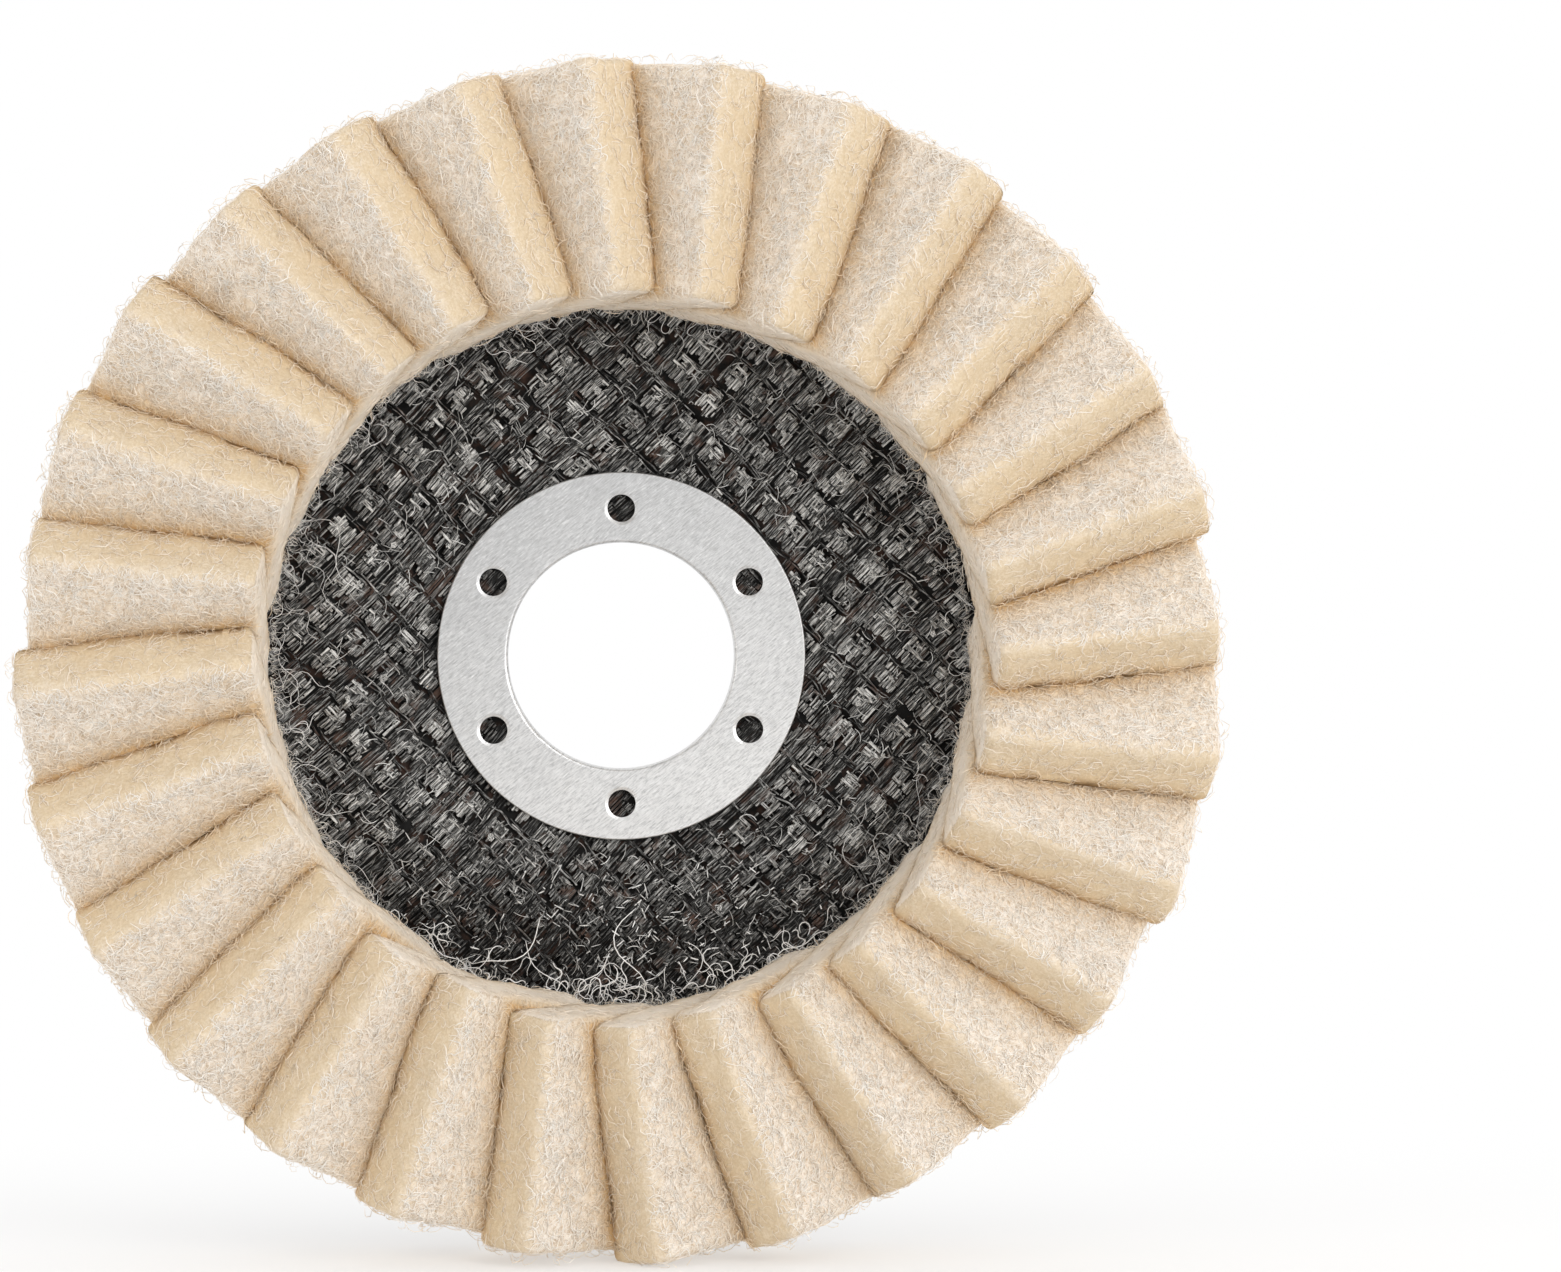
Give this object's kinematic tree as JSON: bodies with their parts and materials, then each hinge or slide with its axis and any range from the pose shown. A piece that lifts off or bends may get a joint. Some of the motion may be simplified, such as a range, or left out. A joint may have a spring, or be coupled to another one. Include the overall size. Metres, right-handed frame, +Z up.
{
  "type": "felt flap polishing wheel",
  "caption": "Felt flap wheel with leaning felt flaps on a pressed woven-fibre plate with a steel hub ring, for polishing stone, metal or glass on an angle grinder.",
  "frame": {"origin": "on the spin axis at the middle of the bore collar's length", "axes": "+Z up with the wheel standing on its rim; the spin axis is Y; the felt working face looks towards -Y and the grinder side is +Y; +X is to the right seen from the felt side"},
  "size_m": [0.1146, 0.0243, 0.1146],
  "materials": {
    "felt": "dense pressed wool felt, cream, fuzzy",
    "adhesive": "cured resin adhesive, dull brown",
    "front_weave": "coarse basket-weave cloth set in black resin, satin",
    "fibre_core": "resin-bonded coarse fibre, brown, matt",
    "rear_weave": "fine plain-weave cloth set in black resin, low sheen",
    "steel": "finely brushed sheet steel"
  },
  "bodies": {
    "root": {"felt_flap_01": "felt", "felt_flap_02": "felt", "felt_flap_03": "felt", "felt_flap_04": "felt", "felt_flap_05": "felt", "felt_flap_06": "felt", "felt_flap_07": "felt", "felt_flap_08": "felt", "felt_flap_09": "felt", "felt_flap_10": "felt", "felt_flap_11": "felt", "felt_flap_12": "felt", "felt_flap_13": "felt", "felt_flap_14": "felt", "felt_flap_15": "felt", "felt_flap_16": "felt", "felt_flap_17": "felt", "felt_flap_18": "felt", "felt_flap_19": "felt", "felt_flap_20": "felt", "felt_flap_21": "felt", "felt_flap_22": "felt", "felt_flap_23": "felt", "felt_flap_24": "felt", "felt_flap_25": "felt", "felt_flap_26": "felt", "felt_flap_27": "felt", "felt_flap_28": "felt", "adhesive_ring": "adhesive", "front_cloth": "front_weave", "core_ply_front": "fibre_core", "core_ply_rear": "fibre_core", "rear_cloth": "rear_weave", "hub_ring": "steel"}
  },
  "joints": []
}
